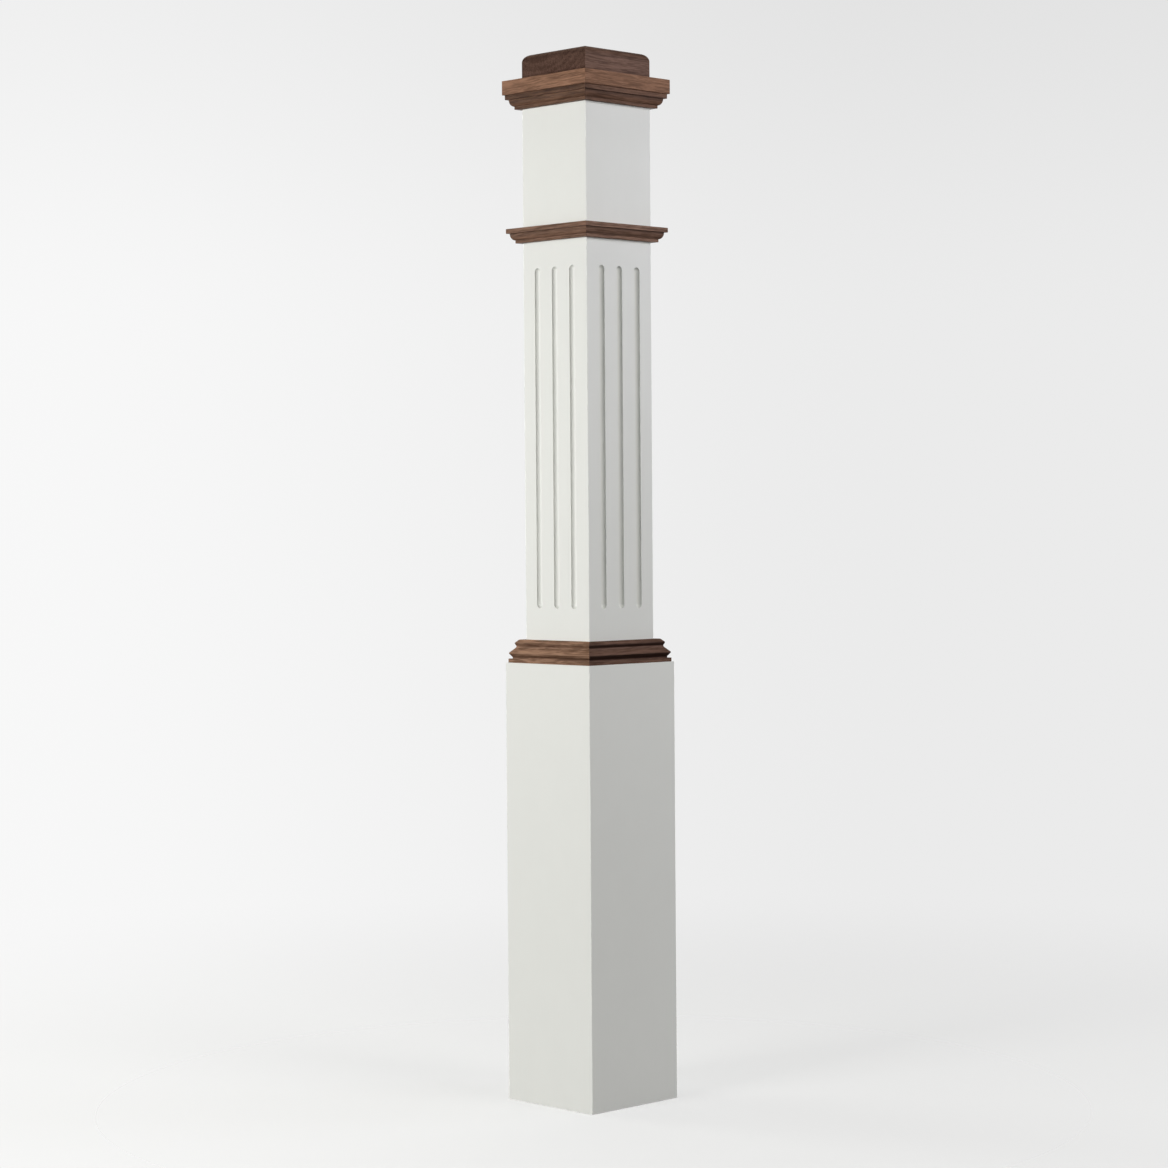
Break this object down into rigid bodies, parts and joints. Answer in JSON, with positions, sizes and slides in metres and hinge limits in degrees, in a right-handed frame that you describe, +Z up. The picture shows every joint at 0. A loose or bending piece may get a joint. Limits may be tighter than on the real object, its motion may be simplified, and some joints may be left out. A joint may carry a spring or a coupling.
{
  "type": "newel post",
  "caption": "Square box newel post: fluted white shaft on a plain lower box, with walnut mouldings, slab and rounded cap block.",
  "frame": {"origin": "centre of the foot, on the floor", "axes": "+Z up the post; -Y the front face, +X the right face"},
  "size_m": [0.1852, 0.1852, 1.6188],
  "materials": {
    "white_paint": "satin white paint",
    "warm_walnut": "clear satin on walnut",
    "dark_walnut": "clear satin on walnut"
  },
  "bodies": {
    "root": {"shaft_front": "white_paint", "shaft_right": "white_paint", "shaft_back": "white_paint", "shaft_left": "white_paint", "lower_box_front": "white_paint", "lower_box_right": "white_paint", "lower_box_back": "white_paint", "lower_box_left": "white_paint", "base_cap_front": "warm_walnut", "base_cap_right": "warm_walnut", "base_cap_back": "warm_walnut", "base_cap_left": "warm_walnut", "neck_moulding_front": "dark_walnut", "neck_moulding_right": "dark_walnut", "neck_moulding_back": "dark_walnut", "neck_moulding_left": "dark_walnut", "cap_moulding_front": "dark_walnut", "cap_moulding_right": "dark_walnut", "cap_moulding_back": "dark_walnut", "cap_moulding_left": "dark_walnut", "cap_slab": "warm_walnut", "cap_block": "dark_walnut"}
  },
  "joints": []
}
